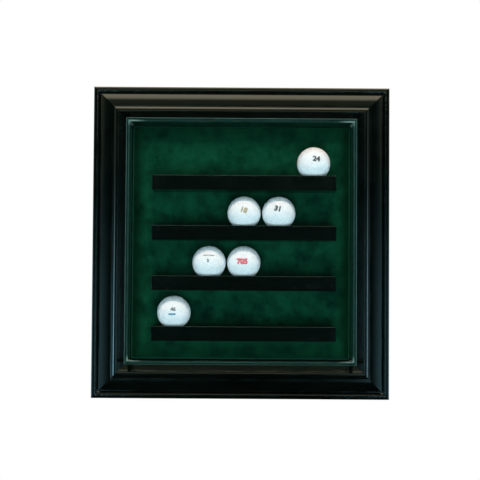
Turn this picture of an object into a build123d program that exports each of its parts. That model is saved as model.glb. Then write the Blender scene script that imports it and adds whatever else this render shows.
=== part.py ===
from build123d import *
import os
from math import cos, radians, sin, sqrt

# Wall-hung display case for golf balls: a mitred moulding frame against the wall, a felt-covered
# board with four shelves of ball seats, and a five-sided glass cover that pulls off forwards.
#
# Millimetres. X to the right, Y into the wall, Z up. The origin is the middle of the back plane,
# so the case lies on the negative side of Y and the wall is the plane Y = 0.

# ---------------------------------------------------------------- the case as a whole
CASE_W = 384.2              # over the moulding, left to right
CASE_H = 403.6              # over the moulding, bottom to top

# ---------------------------------------------------------------- moulding, from the outer edge inwards
EDGE_H = 22.0               # straight outer edge, up from the wall; also the height of the groove floor
BEAD_W = 9.2                # rounded bead along the outer edge
BEAD_RISE = 3.0             # its crest above the straight edge
GROOVE_W = 1.6              # flat floor of the groove between bead and ovolo
OVOLO_W = 16.1              # large rounded member that swells towards the glass
OVOLO_STEP = 5.8            # upright step from the groove floor to where it starts
OVOLO_RISE = 11.6           # its top above the groove floor
RIB_FOOT = 0.6              # outer foot of the rib below the top of the ovolo
RIB_SIDE_W = 3.3            # hollow outer side of the rib
RIB_SIDE_H = 3.15           # and its height
RIB_SIDE_ANGLE = 30.0       # slope of the hollow side at its foot
RIB_TOP_W = 5.0             # between the rib's two shoulders
RIB_CROWN = 0.5             # the domed crest above the shoulders
RIB_SHOULDER_R = 0.5        # rounding of the shoulders
RIB_BEVEL_W = 2.4           # bevelled inner side of the rib
RIB_BEVEL_DROP = 1.33       # its fall from the shoulder
SLOPE_W = 8.6               # sloping inner member, down to the glass
SLOPE_DROP = 3.3            # its fall from the rib to the inner edge
RABBET_W = 9.0              # step in the back of the moulding that takes the backing board

# ---------------------------------------------------------------- boards and felt
BACKING_T = 3.2             # hardboard backing
BACKING_GAP = 0.5           # round its edge, in the rabbet
PLATFORM_T = 12.7           # board that carries the shelves
FELT_T = 1.0                # felt over the front and the edges of that board

# ---------------------------------------------------------------- glass cover
GLASS_T = 3.175
COVER_GAP = 0.8             # round the outside of the glass, in the moulding
PLUG_GAP = 0.9              # between the glass and the felt-covered edge of the board
COVER_DROP = 0.6            # the cover hangs this much low, its top pane on the board
COVER_REAR_GAP = 0.4        # between the cover's rear edge and the backing board
FRONT_ROOM = 11.7           # from the front of the shelves to the front pane
SEAM_LEG = 1.6              # silicone fillet along the inside corners of the glass

# ---------------------------------------------------------------- balls and shelves
BALL_D = 42.67
BALL_GAP = 1.78             # between two balls side by side, and across the depth of a shelf
SEATS = 5                   # on each shelf
SHELVES = 4
SHELF_T = 18.5
SHELF_END = 5.6             # wood past the outermost cells
SHELF_EASE = 0.8            # eased front and end edges
BALL_HEADROOM = 6.8         # free above a ball, so that it lifts out of its seat
SEAT_D = 26.0               # blind hole that a ball stands in
SEAT_DEPTH = 8.0
SEAT_CLEARANCE = 0.25       # ball above the rim of its seat
STACK_SHIFT = 3.8           # the shelves stand this far right of the middle of the case
STACK_DROP = 21.4           # and their stack this far below it
BALL_PLACES = ((1, 5), (2, 3), (2, 4), (3, 2), (3, 3), (4, 1))     # shelf and seat of each ball

# ---------------------------------------------------------------- screws: shank, head, length
SCREW_CLEARANCE = 0.1       # round a shank or a head
SMALL_SCREW_D = 3.0
SMALL_HEAD_D = 5.6
SMALL_SCREW_L = 12.0
SHELF_SCREW_D = 3.5
SHELF_HEAD_D = 7.0
SHELF_SCREW_L = 31.75
TIP_L = 2.5                 # pointed end of a screw
DRIVE_W = 0.9               # cross recess
DRIVE_DEPTH = 0.8
DRIVE_SPAN = 0.6            # share of the head that the recess spans
BACKING_SCREW_SPACING = 190.0   # the two screws on each side of the backing board
PLATFORM_SCREW_INSET = 32.0     # in from the corners of the board, from behind
SHELF_SCREW_SEATS = (1, 4)  # shelf screws stand midway between these seats and the next ones

# ---------------------------------------------------------------- corner nails in the back of each mitre
NAIL_T = 0.8
NAIL_LEG = 7.0
NAIL_ANGLE = 40.0           # each leg off the mitre line
NAIL_DEPTH = 7.0
NAIL_CLEARANCE = 0.05
NAIL_PLACES = (12.0, 28.0)  # in from the outer corner, measured square to an edge

# ---------------------------------------------------------------- keyhole hanger plates
PLATE_L = 46.0
PLATE_W = 16.0
PLATE_T = 1.6
PLATE_CLEARANCE = 0.15
PLATE_DROP = 72.0           # entry hole below the top of the case
ENTRY_D = 9.5
SLOT_W = 5.0
SLOT_RISE = 10.0            # from the entry hole up to where the wall screw rests
PLATE_SCREW_SPAN = 36.0     # between the plate's own two screws
PLATE_SCREW_OFFSET = 3.0    # the plate's middle above its entry hole
POCKET_MARGIN = 1.2         # room round the head of the wall screw, behind the plate
POCKET_DEPTH = 6.5

# ---------------------------------------------------------------- sizes that follow
RIB_W = RIB_SIDE_W + RIB_TOP_W + RIB_BEVEL_W
MOULDING_W = BEAD_W + GROOVE_W + OVOLO_W + RIB_W + SLOPE_W
ovolo_start = BEAD_W + GROOVE_W
ovolo_end = ovolo_start + OVOLO_W
ovolo_top = EDGE_H + OVOLO_RISE
rib_foot = ovolo_top - RIB_FOOT
rib_shoulder = rib_foot + RIB_SIDE_H
rib_end = ovolo_end + RIB_W
bevel_foot = rib_shoulder - RIB_BEVEL_DROP
inner_edge_h = bevel_foot - SLOPE_DROP

opening_w = CASE_W - 2 * MOULDING_W
opening_h = CASE_H - 2 * MOULDING_W
backing_w = opening_w + 2 * (RABBET_W - BACKING_GAP)
backing_h = opening_h + 2 * (RABBET_W - BACKING_GAP)

cover_w = opening_w - 2 * COVER_GAP
cover_h = opening_h - 2 * COVER_GAP
room_w = cover_w - 2 * GLASS_T
room_h = cover_h - 2 * GLASS_T
felt_w = room_w - 2 * PLUG_GAP
felt_h = room_h - 2 * PLUG_GAP
platform_w = felt_w - 2 * FELT_T
platform_h = felt_h - 2 * FELT_T

cell = BALL_D + BALL_GAP
shelf_l = SEATS * cell + 2 * SHELF_END
ball_r = BALL_D / 2
ball_sink = ball_r - sqrt(ball_r**2 - (SEAT_D / 2)**2) - SEAT_CLEARANCE
ball_stand = BALL_D - ball_sink
shelf_pitch = SHELF_T + ball_stand + BALL_HEADROOM
stack_h = (SHELVES - 1) * shelf_pitch + SHELF_T

platform_back = -BACKING_T
platform_front = platform_back - PLATFORM_T
felt_front = platform_front - FELT_T
shelf_front = felt_front - cell
glass_inside = shelf_front - FRONT_ROOM
case_front = glass_inside - GLASS_T
cover_rear = -BACKING_T - COVER_REAR_GAP


def shelf_top(shelf):
    """Height of the upper face of a shelf, counted from 1 at the top."""
    return stack_h / 2 - STACK_DROP - (shelf - 1) * shelf_pitch


def seat_x(seat):
    """Middle of a seat, counted from 1 at the left."""
    return STACK_SHIFT + (seat - (SEATS + 1) / 2) * cell


def slab(width, height, y_back, y_front):
    """Upright board of this size, centred on the case, between two depths."""
    board = Box(width, y_back - y_front, height)
    return Pos(0, (y_back + y_front) / 2, 0) * board


def facing_wall(x, z, y=0.0):
    """Sketch plane at this place whose own Y points up and whose normal points away from the wall."""
    return Plane(origin=(x, y, z), x_dir=(1, 0, 0), z_dir=(0, -1, 0))


def four_ways(x, z):
    """The point and its mirror images left to right and top to bottom."""
    return [(side * x, level * z) for side in (-1, 1) for level in (-1, 1)]


# ---------------------------------------------------------------- moulding
def moulding_profile():
    """Section of the moulding: X from its outer edge inwards, Y out from the wall."""
    bead = EllipticalCenterArc((BEAD_W / 2, EDGE_H), BEAD_W / 2, BEAD_RISE, arc_size=180)
    ovolo_foot = (ovolo_start, EDGE_H + OVOLO_STEP)
    groove = Polyline((BEAD_W, EDGE_H), (ovolo_start, EDGE_H), ovolo_foot)
    ovolo = TangentArc((ovolo_end, ovolo_top), ovolo_foot, tangent=(-1, 0))
    outer_shoulder = (ovolo_end + RIB_SIDE_W, rib_shoulder)
    inner_shoulder = (rib_end - RIB_BEVEL_W, rib_shoulder)
    highest = (outer_shoulder[0] + RIB_TOP_W / 2, rib_shoulder + RIB_CROWN)
    along = (cos(radians(RIB_SIDE_ANGLE)), sin(radians(RIB_SIDE_ANGLE)))
    outer_side = TangentArc((ovolo_end, rib_foot), outer_shoulder, tangent=along)
    crest = ThreePointArc(outer_shoulder, highest, inner_shoulder)
    rabbet = MOULDING_W - RABBET_W
    inside_and_back = Polyline(
        inner_shoulder,
        (rib_end, bevel_foot),
        (MOULDING_W, inner_edge_h),
        (MOULDING_W, BACKING_T),
        (rabbet, BACKING_T),
        (rabbet, 0),
        (0, 0),
        (0, EDGE_H),
    )
    foot = Line((ovolo_end, ovolo_top), (ovolo_end, rib_foot))
    section = make_face(Curve() + [bead, groove, ovolo, foot, outer_side, crest, inside_and_back])
    return fillet(section.vertices().sort_by(Axis.Y)[-2:], RIB_SHOULDER_R)


def rail(length, across, turn):
    """One mitred rail. It is drawn as the bottom rail and turned about Y to its side."""
    half = length / 2
    end = Plane(origin=(-half, 0, -across / 2), x_dir=(0, 0, 1), z_dir=(1, 0, 0))
    bar = extrude(end * moulding_profile(), amount=length)
    outline = Polygon(
        (-half, 0),
        (half, 0),
        (half - MOULDING_W, MOULDING_W),
        (MOULDING_W - half, MOULDING_W),
        align=None,
    )
    mitred = extrude(facing_wall(0, -across / 2) * outline, amount=rib_shoulder + RIB_CROWN)
    return Rot(0, turn, 0) * (bar & mitred)


# ---------------------------------------------------------------- screws and nails
def turned_screw(shank_d, head_d, length, room=0.0):
    """Screw with a 45 degree countersunk head, down from the origin, or its hole where room is given."""
    head_h = (head_d - shank_d) / 2
    straight_end = length + room if room else length - TIP_L
    half_section = Polyline(
        (0, 0),
        (head_d / 2 + room, 0),
        (shank_d / 2 + room, -head_h),
        (shank_d / 2 + room, -straight_end),
        (0, -length - room),
        close=True,
    )
    return revolve(Plane.XZ * make_face(half_section), Axis.Z)


def screw(shank_d, head_d, length):
    """Countersunk screw with a cross recess."""
    blade = Box(head_d * DRIVE_SPAN, DRIVE_W, 2 * DRIVE_DEPTH)
    return turned_screw(shank_d, head_d, length) - blade - Rot(0, 0, 90) * blade


def from_behind(shape, places, y=0.0):
    """Copies of a shape drawn along -Z, driven forwards from the plane at y."""
    return [Pos(x, y, z) * Rot(-90, 0, 0) * shape for x, z in places]


small_screw = screw(SMALL_SCREW_D, SMALL_HEAD_D, SMALL_SCREW_L)
small_hole = turned_screw(SMALL_SCREW_D, SMALL_HEAD_D, SMALL_SCREW_L, SCREW_CLEARANCE)
shelf_screw = screw(SHELF_SCREW_D, SHELF_HEAD_D, SHELF_SCREW_L)
shelf_hole = turned_screw(SHELF_SCREW_D, SHELF_HEAD_D, SHELF_SCREW_L, SCREW_CLEARANCE)

lip_x = (opening_w + RABBET_W) / 2
lip_z = (opening_h + RABBET_W) / 2
backing_screw_places = four_ways(lip_x, BACKING_SCREW_SPACING / 2) + four_ways(BACKING_SCREW_SPACING / 2, lip_z)
platform_screw_places = four_ways(platform_w / 2 - PLATFORM_SCREW_INSET, platform_h / 2 - PLATFORM_SCREW_INSET)
shelf_screw_places = [
    (seat_x(seat) + cell / 2, shelf_top(shelf) - SHELF_T / 2)
    for shelf in range(1, SHELVES + 1)
    for seat in SHELF_SCREW_SEATS
]
backing_holes = from_behind(small_hole, backing_screw_places)
platform_holes = from_behind(small_hole, platform_screw_places)
shelf_holes = from_behind(shelf_hole, shelf_screw_places, platform_back)


def corner_nail(side, level, inset, room=0.0):
    """V-shaped nail across one mitre with its point to the outer corner, or the slot for it."""
    leg = Box(NAIL_LEG + 2 * room, NAIL_DEPTH + room, NAIL_T + 2 * room)
    leg = Pos(-NAIL_LEG / 2, -(NAIL_DEPTH + room) / 2, 0) * leg
    pair = Rot(0, NAIL_ANGLE, 0) * leg + Rot(0, -NAIL_ANGLE, 0) * leg
    to_corner = -level * (45 if side > 0 else 135)
    return Pos(side * (CASE_W / 2 - inset), 0, level * (CASE_H / 2 - inset)) * Rot(0, to_corner, 0) * pair


def corner_nails(room=0.0):
    """All the nails, or all their slots."""
    return [corner_nail(side, level, inset, room) for side, level in four_ways(1, 1) for inset in NAIL_PLACES]


# ---------------------------------------------------------------- hanger plates
plate_x = (CASE_W - MOULDING_W + RABBET_W) / 2
plate_z = CASE_H / 2 - PLATE_DROP
plate_screw_levels = [PLATE_SCREW_OFFSET + side * PLATE_SCREW_SPAN / 2 for side in (-1, 1)]
plate_screw_places = [(side * plate_x, plate_z + level) for side in (-1, 1) for level in plate_screw_levels]
plate_holes = from_behind(small_hole, plate_screw_places)


def keyhole(entry_d, slot_w):
    """Outline of a keyhole about its entry hole, with its slot upwards."""
    slot = Pos(0, SLOT_RISE / 2) * SlotCenterToCenter(SLOT_RISE, slot_w, rotation=90)
    return Circle(entry_d / 2) + slot


def plate_outline(room=0.0):
    """Outline of a hanger plate about its entry hole."""
    return Pos(0, PLATE_SCREW_OFFSET) * SlotOverall(PLATE_L + 2 * room, PLATE_W + 2 * room, rotation=90)


def hanger_plate(side):
    """Hanger plate let into the back of one side rail."""
    outline = plate_outline() - keyhole(ENTRY_D, SLOT_W)
    return extrude(facing_wall(side * plate_x, plate_z) * outline, amount=PLATE_T) - plate_holes


def plate_pocket(side):
    """Recess for a hanger plate, and behind it the room for the head of a wall screw."""
    recess = extrude(facing_wall(side * plate_x, plate_z) * plate_outline(PLATE_CLEARANCE), amount=PLATE_T)
    wide = ENTRY_D + 2 * POCKET_MARGIN
    head_room = keyhole(wide, wide)
    deep = extrude(facing_wall(side * plate_x, plate_z) * head_room, amount=PLATE_T + POCKET_DEPTH)
    return recess + deep


# ---------------------------------------------------------------- boards, felt and shelves
def shelf(number):
    """Shelf with its row of blind seats."""
    top = shelf_top(number)
    middle_y = (felt_front + shelf_front) / 2
    bar = Pos(STACK_SHIFT, middle_y, top - SHELF_T / 2) * Box(shelf_l, cell, SHELF_T)
    bar = fillet(bar.faces().sort_by(Axis.Y)[0].edges(), SHELF_EASE)
    seat = Cylinder(SEAT_D / 2, SEAT_DEPTH, align=(Align.CENTER, Align.CENTER, Align.MAX))
    seats = [Pos(seat_x(place), middle_y, top) * seat for place in range(1, SEATS + 1)]
    return bar - seats - shelf_holes


def golf_ball(number, seat):
    """Ball in one seat of a shelf."""
    height = shelf_top(number) + ball_stand - ball_r
    return Pos(seat_x(seat), (felt_front + shelf_front) / 2, height) * Sphere(ball_r)


# ---------------------------------------------------------------- glass cover
def pane(width, depth, height, x, y, z):
    """Pane whose middle is at this place on the cover as it hangs."""
    return Pos(x, y, z - COVER_DROP) * Box(width, depth, height)


def seams():
    """Silicone fillets: a ring behind the front pane and a bead down each corner."""
    ring_plane = facing_wall(0, -COVER_DROP, glass_inside + SEAM_LEG)
    ring = extrude(ring_plane * Rectangle(room_w, room_h), amount=SEAM_LEG)
    ring -= extrude(ring_plane * Rectangle(room_w, room_h), amount=SEAM_LEG, taper=45)
    bead_l = felt_front - SEAM_LEG - (glass_inside + SEAM_LEG)
    fillet_section = Polygon((0, 0), (SEAM_LEG, 0), (0, SEAM_LEG), align=None)
    bead = extrude(facing_wall(0, 0) * fillet_section, amount=bead_l)
    corners = ((-1, -1, 0), (-1, 1, 90), (1, 1, 180), (1, -1, 270))
    beads = [
        Pos(side * room_w / 2, felt_front - SEAM_LEG, level * room_h / 2 - COVER_DROP) * Rot(0, turn, 0) * bead
        for side, level, turn in corners
    ]
    return [ring, *beads]


wall_l = cover_rear - glass_inside
wall_y = (cover_rear + glass_inside) / 2
side_x = (room_w + GLASS_T) / 2
side_z = (room_h + GLASS_T) / 2

# ---------------------------------------------------------------- every piece by name
rail_cuts = corner_nails(NAIL_CLEARANCE) + backing_holes + plate_holes + [plate_pocket(-1), plate_pocket(1)]
backing_board = slab(backing_w, backing_h, 0, platform_back) - backing_holes - platform_holes
platform_board = slab(platform_w, platform_h, platform_back, platform_front) - platform_holes - shelf_holes
felt_cover = slab(felt_w, felt_h, platform_back, felt_front)
felt_cover -= slab(platform_w, platform_h, platform_back, platform_front)

pieces = {
    "rail_bottom": rail(CASE_W, CASE_H, 0) - rail_cuts,
    "rail_left": rail(CASE_H, CASE_W, 90) - rail_cuts,
    "rail_top": rail(CASE_W, CASE_H, 180) - rail_cuts,
    "rail_right": rail(CASE_H, CASE_W, -90) - rail_cuts,
    "corner_nails": corner_nails(),
    "backing_board": backing_board,
    "backing_screws": from_behind(small_screw, backing_screw_places),
    "platform_board": platform_board,
    "platform_screws": from_behind(small_screw, platform_screw_places),
    "felt_cover": felt_cover - shelf_holes,
    "shelf_screws": from_behind(shelf_screw, shelf_screw_places, platform_back),
    "keyhole_plate_left": hanger_plate(-1),
    "keyhole_plate_right": hanger_plate(1),
    "keyhole_screws": from_behind(small_screw, plate_screw_places),
    "glass_front": pane(cover_w, GLASS_T, cover_h, 0, glass_inside - GLASS_T / 2, 0),
    "glass_top": pane(cover_w, wall_l, GLASS_T, 0, wall_y, side_z),
    "glass_bottom": pane(cover_w, wall_l, GLASS_T, 0, wall_y, -side_z),
    "glass_left": pane(GLASS_T, wall_l, room_h, -side_x, wall_y, 0),
    "glass_right": pane(GLASS_T, wall_l, room_h, side_x, wall_y, 0),
    "silicone_seams": seams(),
}
for number in range(1, SHELVES + 1):
    pieces[f"shelf_{number}"] = shelf(number)
for number, (shelf_number, seat) in enumerate(BALL_PLACES, 1):
    pieces[f"golf_ball_{number}"] = golf_ball(shelf_number, seat)

os.makedirs("parts", exist_ok=True)
for name, piece in pieces.items():
    if isinstance(piece, list):
        piece = Compound(children=[solid for item in piece for solid in item.solids()])
    export_step(piece, f"parts/{name}.step")

print(f"case {CASE_W:.1f} x {CASE_H:.1f}, {-case_front:.2f} deep; moulding {MOULDING_W:.1f} wide")
print(f"glass {cover_w:.1f} x {cover_h:.1f}; shelves {shelf_l:.1f} long, {shelf_pitch:.2f} apart")
print(f"ball sinks {ball_sink:.2f}; shelf tops", [round(shelf_top(n), 2) for n in range(1, SHELVES + 1)])
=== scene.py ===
# %% [markdown]
# # A wall case for golf balls
# This lesson dresses a finished construction model of a display case: a black mitred moulding, a
# felt-covered board with four shelves, and a glass cover that pulls off forwards. The construction
# stays as it is. Here each piece gets the finish of the real one, and the pieces whose beauty is in
# their skin (felt, glass, silicone and balls) are modelled anew in the same place.

# %% Load the construction model
from math import atan, cos, pi, radians, sin

import bmesh
import bpy
from mathutils import Euler, Matrix, Vector, noise
from mathutils.bvhtree import BVHTree
from mathutils.kdtree import KDTree


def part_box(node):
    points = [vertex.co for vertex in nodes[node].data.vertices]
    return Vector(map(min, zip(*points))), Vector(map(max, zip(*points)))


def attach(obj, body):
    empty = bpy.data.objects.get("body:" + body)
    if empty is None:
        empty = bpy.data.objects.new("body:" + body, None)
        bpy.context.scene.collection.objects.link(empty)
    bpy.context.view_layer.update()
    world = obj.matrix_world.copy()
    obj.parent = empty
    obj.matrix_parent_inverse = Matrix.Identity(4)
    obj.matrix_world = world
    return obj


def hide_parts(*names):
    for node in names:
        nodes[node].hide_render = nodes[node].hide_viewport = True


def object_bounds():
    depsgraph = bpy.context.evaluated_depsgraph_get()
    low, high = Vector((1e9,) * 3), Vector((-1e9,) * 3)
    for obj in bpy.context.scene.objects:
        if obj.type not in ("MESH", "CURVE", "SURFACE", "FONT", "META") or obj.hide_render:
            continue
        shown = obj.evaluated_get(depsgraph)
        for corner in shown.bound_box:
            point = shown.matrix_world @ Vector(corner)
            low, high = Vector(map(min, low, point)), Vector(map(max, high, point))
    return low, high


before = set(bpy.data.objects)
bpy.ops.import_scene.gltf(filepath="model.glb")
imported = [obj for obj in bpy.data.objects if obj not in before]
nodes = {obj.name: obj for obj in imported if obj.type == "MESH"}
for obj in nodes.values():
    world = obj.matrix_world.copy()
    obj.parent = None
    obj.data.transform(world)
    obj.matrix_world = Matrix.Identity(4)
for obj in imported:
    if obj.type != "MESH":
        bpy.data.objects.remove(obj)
cad_low, cad_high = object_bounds()
MM = 0.001
print(len(nodes), "nodes; the case measures", [round(v / MM, 1) for v in cad_high - cad_low], "mm")

# %% [markdown]
# ## The camera
# A product photographer stands well back with a long lens, so that the frame stays square. The place
# and the lens come from the corners of the moulding, glass, shelves and balls: the camera is a little
# below the middle of the case and looks slightly up, which is why the balls on the top shelf are cut
# lower by their shelf than the ones at the foot.

# %% Camera
PHOTO_PX = 480
FOCAL_PX = 1304.5           # focal length, in pixels of the photograph
SENSOR_MM = 36.0
CAMERA_AT = Vector((-1.99, -1709.7, -70.3)) * MM
CAMERA_YAW, CAMERA_PITCH, CAMERA_ROLL = -0.043, 2.491, -0.374   # degrees

camera_data = bpy.data.cameras.new("photo_camera")
camera_data.sensor_width = SENSOR_MM
camera_data.lens = FOCAL_PX * SENSOR_MM / PHOTO_PX
camera_data.clip_end = 50
camera = bpy.data.objects.new("photo_camera", camera_data)
bpy.context.scene.collection.objects.link(camera)
aim = (
    Matrix.Rotation(radians(CAMERA_ROLL), 4, "Y")
    @ Matrix.Rotation(radians(CAMERA_PITCH), 4, "X")
    @ Matrix.Rotation(radians(CAMERA_YAW), 4, "Z")
    @ Matrix.Rotation(pi / 2, 4, "X")
)
camera.matrix_world = Matrix.Translation(CAMERA_AT) @ aim
bpy.context.scene.camera = camera
bpy.context.scene.view_settings.view_transform = "Standard"
print("lens", round(camera_data.lens, 1), "mm")

# %% [markdown]
# ## Helpers for shader trees
# Every finish below is a tree of nodes. `add_node` makes one node and wires it in the same call: an
# input is either a plain value or the output socket of another node. Three kinds of node are used so
# often that they get names of their own: a blend of colours, one step of arithmetic and a smooth step.

# %% Shader helpers
def add_node(tree, kind, inputs=None, **settings):
    """One shader node with its settings and its inputs, which are values or sockets to link."""
    made = tree.nodes.new("ShaderNode" + kind)
    for name, value in settings.items():
        setattr(made, name, value)
    for name, value in (inputs or {}).items():
        if isinstance(value, bpy.types.NodeSocket):
            tree.links.new(value, made.inputs[name])
        else:
            made.inputs[name].default_value = value
    return made


def mix_colours(tree, amount, first, second):
    """A blend of two colours, each a value or a socket."""
    return add_node(tree, "Mix", {0: amount, 6: first, 7: second}, data_type="RGBA").outputs[2]


def number(tree, operation, first, second=0.0, third=0.0):
    """The result of one Math node."""
    return add_node(tree, "Math", {0: first, 1: second, 2: third}, operation=operation).outputs[0]


def ramp(tree, value, low, high, start=0.0, end=1.0):
    """A smooth step: start on the near side of low, end on the far side of high."""
    limits = {0: value, 1: low, 2: high, 3: start, 4: end}
    return add_node(tree, "MapRange", limits, interpolation_type="SMOOTHSTEP").outputs[0]


print("helpers ready")

# %% [markdown]
# ## The room
# Black lacquer shows nothing but the room. In the photograph the moulding is black where it mirrors the
# dark side of the studio behind the camera, tan where its upper slopes mirror the bright ceiling, and
# blue-grey in thin lines where its ribs mirror a window at each side. So rays that look at the background
# see plain white, matt surfaces get an even soft light, and mirrored rays see a simple room. Ahead it is
# dark, with a bright strip a little above the camera and a narrow doorway on either side of it. Overhead is a
# warm ceiling. The sides are cool and brightest low down, with a window in each, and behind the case it is
# plain grey. All of it depends on the direction in the room alone.

# %% Colours of the room
AMBIENT = (0.38, 0.48, 0.53, 1)       # what matt surfaces gather from all round
ROOM_DARK = (0.006, 0.012, 0.009, 1)
ROOM_UPPER_FRONT = (0.20, 0.24, 0.15, 1)
FRONT_STRIP = (2.4, 2.6, 1.9, 1)
CEILING = (2.7, 2.45, 1.8, 1)
SIDE_RIGHT = (0.36, 0.76, 0.92, 1)
SIDE_LEFT = (0.30, 0.64, 0.76, 1)
SIDE_WINDOW = (3.0, 6.2, 7.6, 1)
DOORWAY = (2.2, 4.4, 5.2, 1)
BEHIND = (0.42, 0.43, 0.42, 1)        # only the plates and screws at the back mirror it
WHITE, BLACK = (1, 1, 1, 1), (0, 0, 0, 1)

# %% Places in the room
# These are angles up from straight ahead, over the top.
UPPER_FRONT_FROM, UPPER_FRONT_FULL = radians(8), radians(30)
FRONT_STRIP_AT, FRONT_STRIP_HALF = radians(11.5), radians(2)
CEILING_FROM, CEILING_FULL = radians(48), radians(68)
# These are angles to the side from straight ahead. The doorways are just outside what the front pane mirrors.
DOORWAY_AT, DOORWAY_HALF = radians(9.5), radians(1.5)
SIDE_FROM, SIDE_FULL = radians(15), radians(85)
SIDE_WINDOW_AT, SIDE_WINDOW_HALF = radians(104), radians(7)
BEHIND_FROM, BEHIND_FULL = radians(122), radians(135)
SOFT_EDGE = (0.5, 1.5)                # strip and openings fade between these shares of their half width
# These are heights, the upward part of a direction: 0 is level with the case and 1 straight up.
FLOOR_DARK, FLOOR_CLEAR = -0.45, -0.3
SIDES_FULL, SIDES_DIM = -0.044, 0.105
SIDES_LEFT = 0.03                     # share of the sides' light that is left above the dim height
CEILING_LOW, CEILING_HIGH = 0.3, 0.6
STRIP_FULL, STRIP_GONE = 0.12, 0.17   # the strip ends here, in the sideways part of a direction
print("ceiling from", round(CEILING_FROM / radians(1)), "degrees up, windows at",
      round(SIDE_WINDOW_AT / radians(1)), "degrees to each side")

# %% World
world = bpy.data.worlds.new("studio")
bpy.context.scene.world = world
world.use_nodes = True
tree = world.node_tree
tree.nodes.clear()
ray = add_node(tree, "LightPath")
direction = add_node(tree, "SeparateXYZ", {0: add_node(tree, "TexCoord").outputs["Generated"]})
to_right, away, up = direction.outputs
ahead = number(tree, "MULTIPLY", away, -1.0)
over = number(tree, "ARCTAN2", up, ahead)               # 0 ahead of the case, 90 degrees overhead, 180 behind
aside = number(tree, "ARCTAN2", to_right, ahead)        # 0 ahead, 90 degrees to the right, -90 to the left
off_floor = ramp(tree, up, FLOOR_DARK, FLOOR_CLEAR)
low_down = number(tree, "MULTIPLY", ramp(tree, up, SIDES_DIM, SIDES_FULL, SIDES_LEFT, 1.0), off_floor)


def add_light(so_far, amount, colour):
    """The room with one more bright area laid over it."""
    return mix_colours(tree, amount, so_far, colour)


def band(angle, middle, half):
    """Mask of the directions near one angle, with soft edges."""
    off = number(tree, "ABSOLUTE", number(tree, "SUBTRACT", angle, middle))
    return ramp(tree, off, half * SOFT_EDGE[0], half * SOFT_EDGE[1], 1.0, 0.0)


def upright_opening(middle, half):
    """Mask of a tall narrow opening whose middle is at this angle to the side."""
    return number(tree, "MULTIPLY", band(aside, middle, half), low_down)


room = mix_colours(tree, ramp(tree, over, UPPER_FRONT_FROM, UPPER_FRONT_FULL), ROOM_DARK, ROOM_UPPER_FRONT)
strip = band(over, FRONT_STRIP_AT, FRONT_STRIP_HALF)
straight = ramp(tree, number(tree, "ABSOLUTE", to_right), STRIP_GONE, STRIP_FULL)
room = add_light(room, number(tree, "MULTIPLY", strip, straight), FRONT_STRIP)
for side, colour in ((1, SIDE_RIGHT), (-1, SIDE_LEFT)):
    beside = ramp(tree, aside, side * SIDE_FROM, side * SIDE_FULL)
    room = add_light(room, number(tree, "MULTIPLY", beside, low_down), colour)
for side in (-1, 1):
    room = add_light(room, upright_opening(side * SIDE_WINDOW_AT, SIDE_WINDOW_HALF), SIDE_WINDOW)
    room = add_light(room, upright_opening(side * DOORWAY_AT, DOORWAY_HALF), DOORWAY)
behind = ramp(tree, number(tree, "ABSOLUTE", aside), BEHIND_FROM, BEHIND_FULL)
room = add_light(room, number(tree, "MULTIPLY", behind, off_floor), BEHIND)
high_up = ramp(tree, up, CEILING_LOW, CEILING_HIGH)
overhead = number(tree, "MULTIPLY", ramp(tree, over, CEILING_FROM, CEILING_FULL), high_up)
room = add_light(room, overhead, CEILING)
print("room built from", len(tree.nodes), "nodes")

# %% Which rays see what
through = ray.outputs["Is Transmission Ray"]
matt_before = number(tree, "GREATER_THAN", ray.outputs["Diffuse Depth"], 0.5)
mirror_before = number(tree, "GREATER_THAN", ray.outputs["Glossy Depth"], 0.5)
mirror_seen_through = number(tree, "MULTIPLY", through, mirror_before)
mirrored = number(tree, "MAXIMUM", ray.outputs["Is Glossy Ray"], mirror_seen_through)
lit = mix_colours(tree, mirrored, AMBIENT, room)
# Light that reaches matt surfaces through the glass already comes with the shadow rays.
lit = mix_colours(tree, number(tree, "MULTIPLY", through, matt_before), lit, BLACK)
view_through = number(tree, "SUBTRACT", number(tree, "SUBTRACT", through, matt_before), mirror_before)
seen = mix_colours(tree, number(tree, "MAXIMUM", ray.outputs["Is Camera Ray"], view_through), lit, WHITE)
shown = add_node(tree, "Background", {"Color": seen, "Strength": 1.0})
add_node(tree, "OutputWorld", {"Surface": shown.outputs[0]})
print("world ready with", len(tree.nodes), "nodes")

# %% [markdown]
# ## The lamps
# The shadow that each shelf throws on the top of the balls below it says where the main lamp hangs: high
# in front, and small enough for a crisp edge. A broad light from just below the camera fills the rest. The
# main lamp is warm and the fill is cool, so that a ball is plain white above and faintly blue below. A third
# soft light behind the case is only for looking at its back. None of them shows in the lacquer, because the
# room above already holds what the lacquer mirrors.

# %% Lamps
CASE_MIDDLE = (cad_low + cad_high) / 2
LAMP_DISTANCE = 2.2


def lamp(name, azimuth, elevation, size, power, colour):
    """A rectangular soft lamp aimed at the middle of the case. Azimuth 0 is straight in front of it."""
    data = bpy.data.lights.new(name, "AREA")
    data.shape = "RECTANGLE"
    data.size, data.size_y = size
    data.energy = power
    data.color = colour
    made = bpy.data.objects.new(name, data)
    bpy.context.scene.collection.objects.link(made)
    side, lift = radians(azimuth), radians(elevation)
    outwards = Vector((sin(side) * cos(lift), -cos(side) * cos(lift), sin(lift)))
    made.location = CASE_MIDDLE + outwards * LAMP_DISTANCE
    made.rotation_euler = outwards.to_track_quat("Z", "Y").to_euler()
    made.visible_glossy = False
    made.visible_transmission = False
    return made


lamp("main_lamp", 0, 63, size=(0.22, 0.16), power=47, colour=(1.0, 0.66, 0.54))
lamp("front_fill", 0, -14, size=(1.6, 1.1), power=74, colour=(0.70, 0.89, 1.0))
lamp("back_fill", 180, 35, size=(1.6, 1.6), power=40, colour=(1.0, 1.0, 1.0))

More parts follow.
